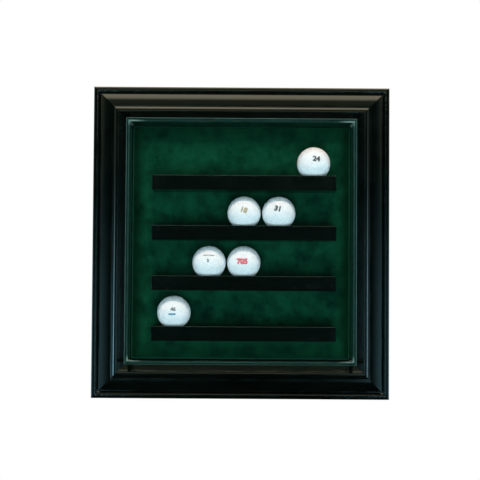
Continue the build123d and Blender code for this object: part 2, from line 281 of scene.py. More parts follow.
# %% [markdown]
# ## The floor
# The case hangs on a wall that isn't part of it, so the floor lies well below, where it catches a soft
# shadow without touching the picture. Camera rays see most of it as the white of the background.

# %% Floor
FLOOR_HEIGHT = -0.75
FLOOR_HALF = 1.6
FLOOR_WHITE = 0.75      # share of the floor that the camera sees as plain background
FLOOR_PAINT = (0.86, 0.86, 0.85, 1)

floor_mesh = bpy.data.meshes.new("floor")
floor_bm = bmesh.new()
bmesh.ops.create_grid(floor_bm, x_segments=1, y_segments=1, size=FLOOR_HALF)
bmesh.ops.translate(floor_bm, vec=(0, 0, FLOOR_HEIGHT), verts=floor_bm.verts)
floor_bm.to_mesh(floor_mesh)
floor_bm.free()
floor = bpy.data.objects.new("floor", floor_mesh)
bpy.context.scene.collection.objects.link(floor)
floor_paint = bpy.data.materials.new("pale_floor")
floor_paint.use_nodes = True
tree = floor_paint.node_tree
tree.nodes.clear()
matt = add_node(tree, "BsdfDiffuse", {"Color": FLOOR_PAINT})
white = add_node(tree, "Emission", {"Color": WHITE, "Strength": 1.0})
share = number(tree, "MULTIPLY", add_node(tree, "LightPath").outputs["Is Camera Ray"], FLOOR_WHITE)
blend = add_node(tree, "MixShader", {0: share, 1: matt.outputs[0], 2: white.outputs[0]})
add_node(tree, "OutputMaterial", {"Surface": blend.outputs[0]})
floor_mesh.materials.append(floor_paint)
floor.visible_glossy = False         # the lacquer mirrors the room instead,
floor.visible_transmission = False   # also through the glass
print("floor", round(FLOOR_HEIGHT, 2), "m from the middle of the case")

# %% [markdown]
# ## Effects that several finishes share
# An effect that more than one finish uses is a node group, so that it is tuned in one place. Each group
# takes the place on the piece in metres and a size, and puts out masks, heights or a roughness.
# *Blotches* are the slow light and dark clouds in brushed felt, hardboard and lacquer. *Fibres* are short
# streaks along one direction. *Sprayed skin* is the faint ripple and the uneven shine of sprayed paint.
# *Dust* is a scatter of specks.

# %% Node groups
# Each pair says where a mask starts and where it is full, in the value of its texture.
CLOUD_RANGE, STREAK_RANGE, DRYING_RANGE, SPECK_RANGE = (0.34, 0.66), (0.3, 0.7), (0.35, 0.65), (0.09, 0.02)
FINER_BY, BIG_SHARE, SMALL_SHARE = 2.7, 0.6, 0.4    # the small clouds against the big ones
DRYING_SLOWER = 0.12                                # the shine changes this much more slowly than the ripple


def new_group(name, inputs, outputs):
    """An empty node group with number inputs (name: default), a place input, and number outputs."""
    group = bpy.data.node_groups.new(name, "ShaderNodeTree")
    group.interface.new_socket("Place", in_out="INPUT", socket_type="NodeSocketVector")
    for label, default in inputs.items():
        socket = group.interface.new_socket(label, in_out="INPUT", socket_type="NodeSocketFloat")
        socket.default_value = default
    for label in outputs:
        group.interface.new_socket(label, in_out="OUTPUT", socket_type="NodeSocketFloat")
    return group, group.nodes.new("NodeGroupInput"), group.nodes.new("NodeGroupOutput")


def put_out(group, end, **results):
    """Joins results to the outputs of a group."""
    for label, socket in results.items():
        group.links.new(socket, end.inputs[label.capitalize()])


def noise_at(group, place, scale, detail):
    """The value of a noise texture at a place."""
    return add_node(group, "TexNoise", {"Vector": place, "Scale": scale, "Detail": detail}).outputs[0]


def blotches_group():
    """Soft clouds: a large and a smaller noise together."""
    group, start, end = new_group("Blotches", {"Size": 0.02}, ["Mask"])
    per_metre = number(group, "DIVIDE", 1.0, start.outputs["Size"])
    finer = number(group, "MULTIPLY", per_metre, FINER_BY)
    big = noise_at(group, start.outputs["Place"], scale=per_metre, detail=2.0)
    small = noise_at(group, start.outputs["Place"], scale=finer, detail=3.0)
    both = number(group, "MULTIPLY_ADD", small, SMALL_SHARE, number(group, "MULTIPLY", big, BIG_SHARE))
    put_out(group, end, mask=ramp(group, both, *CLOUD_RANGE))
    return group


def fibres_group():
    """Short streaks along the X of the place that comes in."""
    group, start, end = new_group("Fibres", {"Length": 0.006, "Width": 0.0004}, ["Mask", "Height"])
    along = number(group, "DIVIDE", 1.0, start.outputs["Length"])
    across = number(group, "DIVIDE", 1.0, start.outputs["Width"])
    squeeze = add_node(group, "CombineXYZ", {0: along, 1: across, 2: across}).outputs[0]
    factors = {0: start.outputs["Place"], 1: squeeze}
    stretched = add_node(group, "VectorMath", factors, operation="MULTIPLY").outputs[0]
    streak = noise_at(group, stretched, scale=1.0, detail=3.0)
    put_out(group, end, mask=ramp(group, streak, *STREAK_RANGE), height=streak)
    return group


def sprayed_skin_group():
    """Ripple of a sprayed coat, and where it dried duller."""
    inputs = {"Ripple": 0.003, "Dullest": 0.3, "Glossiest": 0.15}
    group, start, end = new_group("Sprayed skin", inputs, ["Roughness", "Height"])
    per_metre = number(group, "DIVIDE", 1.0, start.outputs["Ripple"])
    slow = number(group, "MULTIPLY", per_metre, DRYING_SLOWER)
    ripple = noise_at(group, start.outputs["Place"], scale=per_metre, detail=1.0)
    drying = noise_at(group, start.outputs["Place"], scale=slow, detail=4.0)
    glossiest, dullest = start.outputs["Glossiest"], start.outputs["Dullest"]
    limits = {0: drying, 1: DRYING_RANGE[0], 2: DRYING_RANGE[1], 3: glossiest, 4: dullest}
    put_out(group, end, roughness=add_node(group, "MapRange", limits).outputs[0], height=ripple)
    return group


def dust_group():
    """Specks of dust, few and small."""
    group, start, end = new_group("Dust", {"Spacing": 0.006, "Amount": 0.1}, ["Mask"])
    per_metre = number(group, "DIVIDE", 1.0, start.outputs["Spacing"])
    specks = add_node(group, "TexVoronoi", {"Vector": start.outputs["Place"], "Scale": per_metre})
    near = ramp(group, specks.outputs["Distance"], *SPECK_RANGE)
    put_out(group, end, mask=number(group, "MULTIPLY", near, start.outputs["Amount"]))
    return group


BLOTCHES, FIBRES = blotches_group(), fibres_group()
SPRAYED_SKIN, DUST = sprayed_skin_group(), dust_group()
print("groups:", ", ".join(g.name for g in bpy.data.node_groups))


# %% Starting a finish
def new_finish(name):
    """A new material with its shader and the place on the piece, in metres."""
    material = bpy.data.materials.new(name)
    material.use_nodes = True
    own = material.node_tree
    own.nodes.clear()
    shader = own.nodes.new("ShaderNodeBsdfPrincipled")
    add_node(own, "OutputMaterial", {"Surface": shader.outputs[0]})
    place = own.nodes.new("ShaderNodeTexCoord").outputs["Object"]
    return material, own, shader, place


def effect(own, group, place, **values):
    """One of the shared effects, placed in a material with its own values."""
    made = own.nodes.new("ShaderNodeGroup")
    made.node_tree = group
    own.links.new(place, made.inputs["Place"])
    for label, value in values.items():
        made.inputs[label.replace("_", " ").capitalize()].default_value = value
    return made.outputs


def turned(own, place, turn):
    """The place turned, so that streaks run along another direction."""
    return add_node(own, "Mapping", {"Vector": place, "Rotation": turn}).outputs[0]


def emboss(own, shader, height, depth):
    """Feeds a height to the shader as relief, depth metres from its lowest to its highest."""
    bump = add_node(own, "Bump", {"Height": height, "Distance": depth, "Strength": 1.0})
    own.links.new(bump.outputs[0], shader.inputs["Normal"])


def set_shader(shader, **values):
    """Plain values, set on the shader's own sockets."""
    for label, value in values.items():
        shader.inputs[label.replace("_", " ").title().replace("Ior", "IOR")].default_value = value


def feed(own, shader, label, socket):
    """Links a changing colour or value to one socket of the shader."""
    own.links.new(socket, shader.inputs[label])


def facing(own, axis, low, high):
    """Mask of the faces whose normal, along an axis, is past low and fully so past high."""
    normal = add_node(own, "SeparateXYZ", {0: add_node(own, "NewGeometry").outputs["Normal"]})
    return ramp(own, normal.outputs[axis], low, high)


def from_edges(own, place, high):
    """How far a place is from the sides and from the ends of a piece that reaches up to high, either way."""
    across, _, upwards = add_node(own, "SeparateXYZ", {0: place}).outputs
    from_side = number(own, "SUBTRACT", high.x, number(own, "ABSOLUTE", across))
    from_end = number(own, "SUBTRACT", high.z, number(own, "ABSOLUTE", upwards))
    return from_side, from_end


DEEP, TALL = 1, 2               # the axes towards the wall and upwards
UPRIGHT = (0, pi / 2, 0)        # turns streaks from X to Z
print("finishes can start")

# %% [markdown]
# ## Black lacquer on the moulding
# The moulding is sprayed with a satin black lacquer over sanded wood. Close up, a sprayed coat isn't flat:
# it has a faint ripple, it dries a little duller in patches, the grain telegraphs through along the rail,
# and dust settles on it. The back isn't lacquered, so faces that look at the wall show bare wood with a
# mist of overspray in patches. The rails differ only in the direction of their grain.

# %% Lacquer and bare wood
LACQUER_BLACK = (0.0001, 0.0006, 0.0004, 1)
LACQUER_GREY = (0.0006, 0.0014, 0.0010, 1)
DUST_GREY = (0.10, 0.10, 0.095, 1)
WOOD_PALE, WOOD_DARK = (0.50, 0.36, 0.22, 1), (0.30, 0.19, 0.105, 1)
OVERSPRAY = 0.35                # how far the mist hides the wood
BARE_ROUGHER = 0.45             # bare wood is this much rougher than the lacquer
GRAIN_SHARE = 0.35              # height of the grain that shows through, against the ripple's
LACQUER_RELIEF = 0.01 * MM


def faces_wall(own):
    """Mask of the faces that look at the wall."""
    return facing(own, DEEP, 0.5, 0.8)


def lacquered_wood(name, grain_turn):
    """Black lacquer in front, bare wood behind."""
    material, own, shader, place = new_finish(name)
    grain_place = turned(own, place, grain_turn)
    skin = effect(own, SPRAYED_SKIN, place, ripple=0.0035, dullest=0.16, glossiest=0.08)
    grain = effect(own, FIBRES, grain_place, length=0.03, width=0.0009)
    clouds = effect(own, BLOTCHES, place, size=0.05)
    dust = effect(own, DUST, place, spacing=0.005, amount=0.07)
    paint = mix_colours(own, clouds["Mask"], LACQUER_BLACK, LACQUER_GREY)
    paint = mix_colours(own, dust["Mask"], paint, DUST_GREY)
    wood = mix_colours(own, grain["Mask"], WOOD_PALE, WOOD_DARK)
    wood = mix_colours(own, number(own, "MULTIPLY", clouds["Mask"], OVERSPRAY), wood, LACQUER_GREY)
    bare = faces_wall(own)
    feed(own, shader, "Base Color", mix_colours(own, bare, paint, wood))
    feed(own, shader, "Roughness", number(own, "MULTIPLY_ADD", bare, BARE_ROUGHER, skin["Roughness"]))
    height = number(own, "MULTIPLY_ADD", grain["Height"], GRAIN_SHARE, skin["Height"])
    emboss(own, shader, height, LACQUER_RELIEF)
    return material


lacquer_across = lacquered_wood("black_lacquer_across", (0, 0, 0))
lacquer_upright = lacquered_wood("black_lacquer_upright", UPRIGHT)


def dress(node_names, material):
    """Gives CAD nodes a finish, in place of the plain one they came with."""
    for name in node_names:
        mesh = nodes[name].data
        mesh.materials.clear()
        mesh.materials.append(material)
    print(material.name, "on", ", ".join(node_names))


dress(["rail_top", "rail_bottom"], lacquer_across)
dress(["rail_left", "rail_right"], lacquer_upright)

# %% [markdown]
# ## Black paint on the shelves
# The shelves are matt where the moulding shines: a thin coat of paint on planed wood, with the grain just
# visible as streaks, and a painted highlight along the eased front edge.

# %% Shelf paint
SHELF_BLACK = (0.0003, 0.0011, 0.0009, 1)
SHELF_STREAK = (0.0014, 0.0028, 0.0024, 1)
# painted highlight on the eased front edge
SHELF_PAINTED_HIGHLIGHT = (0.033, 0.055, 0.046, 1)
SHELF_RELIEF = 0.04 * MM
SHELF_GRAIN_SHARE = 0.6                     # height of the grain, against the ripple's
EASED_UP, EASED_FRONT = (0.25, 0.6), (-0.25, -0.6)      # the eased edge looks up and forwards at once


def shelf_paint():
    """Matt black over wood grain along the shelf, with a painted highlight on the eased front edge."""
    material, own, shader, place = new_finish("shelf_paint")
    grain = effect(own, FIBRES, place, length=0.035, width=0.0011)
    skin = effect(own, SPRAYED_SKIN, place, ripple=0.002, dullest=0.18, glossiest=0.11)
    dust = effect(own, DUST, place, spacing=0.004, amount=0.12)
    paint = mix_colours(own, grain["Mask"], SHELF_BLACK, SHELF_STREAK)
    paint = mix_colours(own, dust["Mask"], paint, DUST_GREY)
    # painted highlight on the eased front edge, a little uneven along the grain
    eased = number(own, "MULTIPLY", facing(own, TALL, *EASED_UP), facing(own, DEEP, *EASED_FRONT))
    painted_edge_highlight = number(own, "MULTIPLY", eased, ramp(own, grain["Mask"], 0.0, 0.8, 0.7, 1.0))
    feed(own, shader, "Base Color", mix_colours(own, painted_edge_highlight, paint, SHELF_PAINTED_HIGHLIGHT))
    feed(own, shader, "Roughness", skin["Roughness"])
    height = number(own, "MULTIPLY_ADD", grain["Height"], SHELF_GRAIN_SHARE, skin["Height"])
    emboss(own, shader, height, SHELF_RELIEF)
    set_shader(shader, specular_ior_level=0.14)
    return material


SHELF_NAMES = sorted(name for name in nodes if name.startswith("shelf_") and name[-1].isdigit())
dress(SHELF_NAMES, shelf_paint())

# %% [markdown]
# ## Boards, plates, nails and screws
# These pieces face the wall or hide under others, and the back of a piece of furniture is where its
# making shows. Hardboard is brown and full of short fibres with a leathery sheen. Fibreboard is paler and
# fuzzier. Both are painted black in front, so that nothing pale shows in the channel where the glass
# hangs. The plates and nails are bright rolled steel, the screws are zinc plated.

# %% Board finishes
HARDBOARD_PALE, HARDBOARD_DARK = (0.27, 0.155, 0.08, 1), (0.13, 0.07, 0.035, 1)
FIBREBOARD_PALE, FIBREBOARD_DARK = (0.46, 0.34, 0.22, 1), (0.30, 0.21, 0.13, 1)
CLOUD_SHARE, MESH_SHARE = 0.45, 0.7     # what the clouds and the crossed fibres add to the tone
BOARD_RELIEF = 0.05 * MM


def pressed_board(name, pale, dark, fibre_length, roughness):
    """Pressed wood fibre: streaks both ways over slow clouds."""
    material, own, shader, place = new_finish(name)
    level = effect(own, FIBRES, place, length=fibre_length, width=0.0005)
    upright = effect(own, FIBRES, turned(own, place, UPRIGHT), length=fibre_length, width=0.0005)
    clouds = effect(own, BLOTCHES, place, size=0.035)
    mesh = number(own, "MULTIPLY", level["Mask"], upright["Mask"])
    tone = number(own, "MULTIPLY_ADD", clouds["Mask"], CLOUD_SHARE, number(own, "MULTIPLY", mesh, MESH_SHARE))
    board = mix_colours(own, tone, pale, dark)
    paint = mix_colours(own, clouds["Mask"], SHELF_BLACK, SHELF_STREAK)
    feed(own, shader, "Base Color", mix_colours(own, faces_wall(own), paint, board))
    emboss(own, shader, number(own, "ADD", level["Height"], upright["Height"]), BOARD_RELIEF)
    set_shader(shader, roughness=roughness, specular_ior_level=0.25)
    return material


hardboard = pressed_board("hardboard", HARDBOARD_PALE, HARDBOARD_DARK, 0.003, 0.5)
fibreboard = pressed_board("fibreboard", FIBREBOARD_PALE, FIBREBOARD_DARK, 0.0015, 0.8)
dress(["backing_board"], hardboard)
dress(["platform_board"], fibreboard)

# %% Metal finishes
STEEL_LIGHT, STEEL_DARK = (0.62, 0.63, 0.64, 1), (0.46, 0.47, 0.48, 1)
ZINC_LIGHT, ZINC_DARK = (0.66, 0.66, 0.62, 1), (0.50, 0.50, 0.52, 1)
STREAK_ROUGHER = 0.15           # roughness that the streaks add
METAL_RELIEF = 0.01 * MM


def metal(name, light, dark, streak_length, roughness):
    """Bright metal with fine streaks and a cloudy plating."""
    material, own, shader, place = new_finish(name)
    streaks = effect(own, FIBRES, turned(own, place, UPRIGHT), length=streak_length, width=0.0002)
    clouds = effect(own, BLOTCHES, place, size=0.004)
    feed(own, shader, "Base Color", mix_colours(own, clouds["Mask"], light, dark))
    feed(own, shader, "Roughness", number(own, "MULTIPLY_ADD", streaks["Mask"], STREAK_ROUGHER, roughness))
    emboss(own, shader, streaks["Height"], METAL_RELIEF)
    set_shader(shader, metallic=1.0)
    return material


rolled_steel = metal("rolled_steel", STEEL_LIGHT, STEEL_DARK, 0.01, 0.25)
zinc_plate = metal("zinc_plate", ZINC_LIGHT, ZINC_DARK, 0.002, 0.3)
dress(["corner_nails", "keyhole_plate_left", "keyhole_plate_right"], rolled_steel)
dress(["backing_screws", "platform_screws", "shelf_screws", "keyhole_screws"], zinc_plate)

# %% [markdown]
# ## Making a piece
# A new piece is a bmesh, shaped with operators and then turned into one object at the origin, so that its
# place is in its mesh. `cut_evenly` slices a mesh with parallel planes, which gives a flat face enough
# points to swell, sag or bend.

# %% Piece helpers
def make_piece(name, bm, body, materials, replaces=(), smooth=True):
    """One object from a bmesh, riding on a body of the model."""
    mesh = bpy.data.meshes.new(name)
    bm.to_mesh(mesh)
    bm.free()
    for material in materials:
        mesh.materials.append(material)
    if smooth:
        mesh.shade_smooth()
    else:
        mesh.shade_flat()
    made = bpy.data.objects.new(name, mesh)
    bpy.context.scene.collection.objects.link(made)
    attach(made, body)
    if replaces:
        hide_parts(*replaces)
    return made


def block(low, high):
    """A bmesh box between two corners."""
    bm = bmesh.new()
    bmesh.ops.create_cube(bm, size=1)
    bmesh.ops.scale(bm, vec=high - low, verts=bm.verts)
    bmesh.ops.translate(bm, vec=(low + high) / 2, verts=bm.verts)
    return bm


def cut_evenly(bm, axis, low, high, step):
    """Slices the mesh across one axis at about this step."""
    across = Vector((axis == 0, axis == 1, axis == 2))
    count = max(1, round((high - low) / step))
    for i in range(1, count):
        at = across * (low + (high - low) * i / count)
        everything = bm.verts[:] + bm.edges[:] + bm.faces[:]
        bmesh.ops.bisect_plane(bm, geom=everything, dist=1e-7, plane_co=at, plane_no=across)


print("ready to model")

# %% [markdown]
# ## The felt
# The board is wrapped in one piece of dark green felt that is stretched over its front and round its
# edges. Modelled as cloth, it is a box without a back whose edges are rounded as felt rounds them, cut
# into small squares, pressed in by up to a tenth of a millimetre here and there, and then given its
# thickness. The colour does most of the work: brushed felt has clouds where its nap lies differently and
# a fine fuzz, and the felt carries painted shade towards its sides and ends and a painted highlight round its
# edge.

# %% Felt colours
FELT_DARK = (0.0001, 0.0086, 0.0062, 1)
FELT_LIGHT = (0.0036, 0.0525, 0.0245, 1)
FELT_PAINTED_HIGHLIGHT = (0.0100, 0.0480, 0.0390, 1)         # painted highlight where the felt goes round the edge of the board
# painted shade, darker towards the sides and ends of the felt
FELT_PAINTED_SHADE = (0.0002, 0.0045, 0.0018, 1)
SHADE_FROM, SHADE_TO = 20 * MM, 3 * MM        # the felt darkens this close to its sides, and twice as far
SIDE_SHADE_SHARE, END_SHADE_SHARE = 0.85, 0.5               # from its ends, by these shares
CLOUD_PART, PATCH_PART, FUZZ_PART = 0.65, 0.35, 0.15    # what each pattern adds to the nap
FOLD_FRONT, FOLD_EDGE = (-0.90, -0.70), (-0.20, -0.40)  # the fold looks between forwards and sideways
FELT_SHEEN = (0.02, 0.30, 0.11, 1)
FELT_RELIEF = 0.3 * MM

felt_low, felt_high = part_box("felt_cover")


def felt_finish():
    """Dark green felt with a clouded nap, fine fuzz, painted shade at its margins and a painted highlight on
    its fold.
    """
    material, own, shader, place = new_finish("green_felt")
    clouds = effect(own, BLOTCHES, place, size=0.040)
    patches = effect(own, BLOTCHES, place, size=0.013)
    fuzz = effect(own, FIBRES, place, length=0.0016, width=0.00025)
    cross_fuzz = effect(own, FIBRES, turned(own, place, UPRIGHT), length=0.0016, width=0.00025)
    nap = number(own, "MULTIPLY", clouds["Mask"], CLOUD_PART)
    nap = number(own, "MULTIPLY_ADD", patches["Mask"], PATCH_PART, nap)
    nap = number(own, "MULTIPLY_ADD", fuzz["Mask"], FUZZ_PART, nap)
    green = mix_colours(own, nap, FELT_DARK, FELT_LIGHT)
    from_side, from_end = from_edges(own, place, felt_high)
    # painted shade along the sides and ends of the felt
    side_painted_shade = number(own, "MULTIPLY", ramp(own, from_side, SHADE_FROM, SHADE_TO), SIDE_SHADE_SHARE)
    end_painted_shade = number(own, "MULTIPLY", ramp(own, from_end, 2 * SHADE_FROM, SHADE_TO), END_SHADE_SHARE)
    felt_painted_shade = number(own, "MAXIMUM", side_painted_shade, end_painted_shade)
    green = mix_colours(own, felt_painted_shade, green, FELT_PAINTED_SHADE)
    # painted highlight where the felt turns round the edge of the board
    fold_painted_highlight = number(own, "MULTIPLY", facing(own, DEEP, *FOLD_FRONT), facing(own, DEEP, *FOLD_EDGE))
    feed(own, shader, "Base Color", mix_colours(own, fold_painted_highlight, green, FELT_PAINTED_HIGHLIGHT))
    emboss(own, shader, number(own, "ADD", fuzz["Height"], cross_fuzz["Height"]), FELT_RELIEF)
    set_shader(shader, roughness=0.95, specular_ior_level=0.0)
    set_shader(shader, sheen_weight=0.4, sheen_roughness=0.5, sheen_tint=FELT_SHEEN)
    return material


# %% Felt sheet
FELT_T = 1.0 * MM
FELT_ROUND = 2.4 * MM       # radius of the felt over an edge of the board
FELT_SQUARE = 5 * MM
FELT_DIMPLE = 0.12 * MM     # deepest hollow in the front
HOLLOWS_PER_M = 90

felt = block(felt_low, felt_high)
back = [face for face in felt.faces if face.normal.y > 0.9]
bmesh.ops.delete(felt, geom=back, context="FACES")
folds = [edge for edge in felt.edges if not edge.is_boundary]
bmesh.ops.bevel(felt, geom=folds, offset=FELT_ROUND, segments=4, profile=0.5, affect="EDGES", material=-1)
cut_evenly(felt, 0, felt_low.x, felt_high.x, FELT_SQUARE)
cut_evenly(felt, 2, felt_low.z, felt_high.z, FELT_SQUARE)
for vert in felt.verts:
    if vert.co.y < felt_low.y + 0.01 * MM:
        hollow = 0.5 + 0.5 * noise.noise(vert.co * HOLLOWS_PER_M)
        vert.co.y += FELT_DIMPLE * hollow
felt_piece = make_piece("felt", felt, "case", [felt_finish()], ["felt_cover"])
thicken = felt_piece.modifiers.new("thickness", "SOLIDIFY")
thicken.thickness = FELT_T
thicken.offset = -1

# %% [markdown]
# ## The glass
# Five panes of float glass are glued edge to edge. Each pane's sharp edges are ground off at a slant, the
# arris, which is frosted and shows as the pale line round a pane, while the edge itself looks down into
# the depth of the glass and is dark green. So each pane has three finishes: clear faces, green edges and
# frosted arrises. Ground glass that looks down gets painted shade, as it sees only the dark moulding, and
# a glint is painted on the seams near the four corners. A hair's breadth between the panes stands for the
# film of glue, and keeps two glass surfaces from lying in the same place, which a renderer can't sort.

# %% Glass finishes
pane_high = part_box("glass_front")[1]
GLINT_FULL, GLINT_END = 8 * MM, 26 * MM   # the painted glint on a level seam is full to here, and gone from there on
GLINT_STEEPER = 2.2                        # on an upright seam the painted glint reaches less far, by this factor
SEAM_OUTER = (2.2 * MM, 2.8 * MM)           # a seam begins and ends this far in from the edge of the cover
SEAM_INNER = (5.0 * MM, 3.8 * MM)
# painted glint on the seams near the corners of the cover
CORNER_PAINTED_GLINT = (0.145, 0.235, 0.21, 1)
# painted shade on ground glass that looks down
GLASS_PAINTED_SHADE = (0.002, 0.010, 0.008, 1)
PAINTED_SHADE_SHARE = 0.75
LOOKS_DOWN = (-0.3, -0.6)
CLEAR_TINT, CLEAR_TINT_DEEP = (0.972, 0.992, 0.985, 1), (0.966, 0.990, 0.982, 1)
EDGE_LIGHT, EDGE_DARK = (0.003, 0.020, 0.016, 1), (0.001, 0.008, 0.006, 1)
ARRIS_LIGHT, ARRIS_DARK = (0.065, 0.130, 0.118, 1), (0.028, 0.065, 0.058, 1)


def let_light_through(own, shader, colour):
    """Makes a finish see-through for shadow rays alone, so that it throws hardly any shadow."""
    open_air = add_node(own, "BsdfTransparent", {"Color": colour})
    shadow = add_node(own, "LightPath").outputs["Is Shadow Ray"]
    blend = add_node(own, "MixShader", {0: shadow, 1: shader.outputs[0], 2: open_air.outputs[0]})
    end = next(n for n in own.nodes if n.type == "OUTPUT_MATERIAL")
    own.links.new(blend.outputs[0], end.inputs["Surface"])


def clear_glass():
    """Clear glass that lets the lamps' light through without a dark shadow."""
    material, own, shader, place = new_finish("clear_glass")
    clouds = effect(own, BLOTCHES, place, size=0.06)
    feed(own, shader, "Base Color", mix_colours(own, clouds["Mask"], CLEAR_TINT, CLEAR_TINT_DEEP))
    set_shader(shader, roughness=0.0, ior=1.5, transmission_weight=1.0)
    let_light_through(own, shader, (0.96, 0.985, 0.975, 1))
    return material


def painted_glint_near_corner(own, place):
    """Mask of the seams near the four corners of the cover, where a glint is painted."""
    from_side, from_end = from_edges(own, place, pane_high)
    inwards = number(own, "MINIMUM", from_side, from_end)
    steeper = number(own, "MULTIPLY", from_end, GLINT_STEEPER)
    along = ramp(own, number(own, "MAXIMUM", from_side, steeper), GLINT_END, GLINT_FULL)
    on_seam = number(own, "MULTIPLY", ramp(own, inwards, *SEAM_OUTER), ramp(own, inwards, *SEAM_INNER))
    return number(own, "MULTIPLY", along, on_seam)


def ground_glass(name, light, dark, roughness):
    """Ground or frosted glass, seen as a cloudy colour, with painted shade where it looks down and a painted
    glint near the corners.
    """
    material, own, shader, place = new_finish(name)
    grit = effect(own, BLOTCHES, place, size=0.0015)
    clouds = effect(own, BLOTCHES, place, size=0.02)
    tone = number(own, "MULTIPLY_ADD", grit["Mask"], 0.4, number(own, "MULTIPLY", clouds["Mask"], 0.6))
    green = mix_colours(own, tone, light, dark)
    # painted shade where the ground glass looks down
    painted_shade_below = number(own, "MULTIPLY", facing(own, TALL, *LOOKS_DOWN), PAINTED_SHADE_SHARE)
    green = mix_colours(own, painted_shade_below, green, GLASS_PAINTED_SHADE)
    # painted glint on the seams near the corners
    feed(own, shader, "Base Color", mix_colours(own, painted_glint_near_corner(own, place), green, CORNER_PAINTED_GLINT))
    set_shader(shader, roughness=roughness, specular_ior_level=0.2)
    let_light_through(own, shader, (0.90, 0.95, 0.93, 1))
    return material


GLASS_FINISHES = [
    clear_glass(),
    ground_glass("glass_edge", EDGE_LIGHT, EDGE_DARK, 0.4),
    ground_glass("glass_arris", ARRIS_LIGHT, ARRIS_DARK, 0.5),
]
CLEAR, EDGE, ARRIS = range(3)
print("glass:", ", ".join(m.name for m in GLASS_FINISHES))

# %% Glass panes
ARRIS_W = 0.4 * MM
GLUE_FILM = 0.03 * MM


def glass_pane(name, inwards):
    """A pane with ground arrises, drawn back by the glue film on the side that meets other glass."""
    low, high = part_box(name)
    for axis, side in enumerate(inwards):
        if side > 0:
            high[axis] -= GLUE_FILM
        if side < 0:
            low[axis] += GLUE_FILM
    size = high - low
    thin = min(range(3), key=lambda axis: size[axis])
    bm = block(low, high)
    bmesh.ops.bevel(bm, geom=bm.edges[:], offset=ARRIS_W, offset_type="OFFSET", segments=1, profile=0.5,
                    affect="EDGES", material=-1)
    bm.normal_update()
    for face in bm.faces:
        along = [abs(part) for part in face.normal]
        face.material_index = EDGE if max(along) > 0.99 else ARRIS
        if along[thin] > 0.99:
            face.material_index = CLEAR
    piece_name = "pane_" + name.split("_")[1]
    return make_piece(piece_name, bm, "glass_cover", GLASS_FINISHES, [name], smooth=False)


# Along each axis, 1 draws a pane's high side back by the film and -1 its low side: the back of the front
# pane, the front of each wall, and where the side walls end at the top and bottom ones.
for name, inwards in (
    ("glass_front", (0, 1, 0)),
    ("glass_top", (0, -1, -1)),
    ("glass_bottom", (0, -1, 1)),
    ("glass_left", (0, -1, 1)),
    ("glass_right", (0, -1, 1)),
):
    pane = glass_pane(name, inwards)
    print(pane.name, len(pane.data.polygons), "faces")

# %% [markdown]
# ## The silicone
# A smoothed bead of clear silicone fills each inside corner of the glass. Its hollow face is what a
# fingertip leaves. Two copies of the inside of the cover make it: one has its edges bevelled round, the
# other bevelled square, which keeps the sharp corner. Between the two lies exactly the bead, so only the
# bevelled strips are kept, joined along their rims and closed at the ends. Each strip is cut in short
# lengths and pushed about by a tenth of a millimetre, because no bead is even.

# %% Silicone finish
SILICONE_MILKY, SILICONE_CLEAR = (0.010, 0.036, 0.031, 1), (0.002, 0.014, 0.011, 1)


def silicone():
    """Clear silicone: milky, soft-looking, slightly uneven, with a painted glint near the corners."""
    material, own, shader, place = new_finish("clear_silicone")
    clouds = effect(own, BLOTCHES, place, size=0.012)
    milky = mix_colours(own, clouds["Mask"], SILICONE_MILKY, SILICONE_CLEAR)
    # painted glint near the corners of the cover
    feed(own, shader, "Base Color", mix_colours(own, painted_glint_near_corner(own, place), milky, CORNER_PAINTED_GLINT))
    feed(own, shader, "Roughness", ramp(own, clouds["Mask"], 0, 1, 0.18, 0.32))
    set_shader(shader, ior=1.41, specular_ior_level=0.3)
    let_light_through(own, shader, (0.94, 0.96, 0.95, 1))
    return material


# %% Silicone beads
BEAD_LEG = 1.6 * MM
BEAD_GAP = 0.03 * MM        # clear of the glass it stands for sticking to
BEAD_STEP = 9 * MM
BEAD_UNEVEN = 0.10 * MM
LUMPS_PER_M = 120
LUMP_SEED = 4               # the same lumps each time this is run


def bead_strips(bm_all, low, high, segments, profile):
    """Adds the strips that bevelling the inside of the cover leaves, pushed about where they are round."""
    bm = block(low, high)
    open_side = [face for face in bm.faces if face.normal.y > 0.9]
    bmesh.ops.delete(bm, geom=open_side, context="FACES")
    kept = bmesh.ops.bevel(bm, geom=[e for e in bm.edges if not e.is_boundary], offset=BEAD_LEG,
                           segments=segments, profile=profile, affect="EDGES", material=-1)["faces"]
    strips = set(kept)
    bmesh.ops.delete(bm, geom=[f for f in bm.faces if f not in strips], context="FACES")
    for axis in range(3):
        cut_evenly(bm, axis, low[axis], high[axis], BEAD_STEP)
    if profile < 1:
        for vert in bm.verts:
            if not vert.is_boundary:
                vert.co += noise.noise_vector(vert.co * LUMPS_PER_M) * BEAD_UNEVEN
    part = bpy.data.meshes.new("part")
    bm.to_mesh(part)
    bm.free()
    bm_all.from_mesh(part)
    bpy.data.meshes.remove(part)


seal_low, seal_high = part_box("silicone_seams")
seal_low += Vector((BEAD_GAP, BEAD_GAP, BEAD_GAP))
seal_high -= Vector((BEAD_GAP, 0, BEAD_GAP))
seal = bmesh.new()
noise.seed_set(LUMP_SEED)
bead_strips(seal, seal_low, seal_high, 6, 0.5)
bead_strips(seal, seal_low, seal_high, 2, 1.0)
bmesh.ops.remove_doubles(seal, verts=seal.verts, dist=0.001 * MM)
bmesh.ops.holes_fill(seal, edges=[edge for edge in seal.edges if edge.is_boundary], sides=0)
bmesh.ops.recalc_face_normals(seal, faces=seal.faces)
seal_piece = make_piece("silicone_beads", seal, "glass_cover", [silicone()],
                        ["silicone_seams"])
print("silicone", len(seal_piece.data.polygons), "faces")

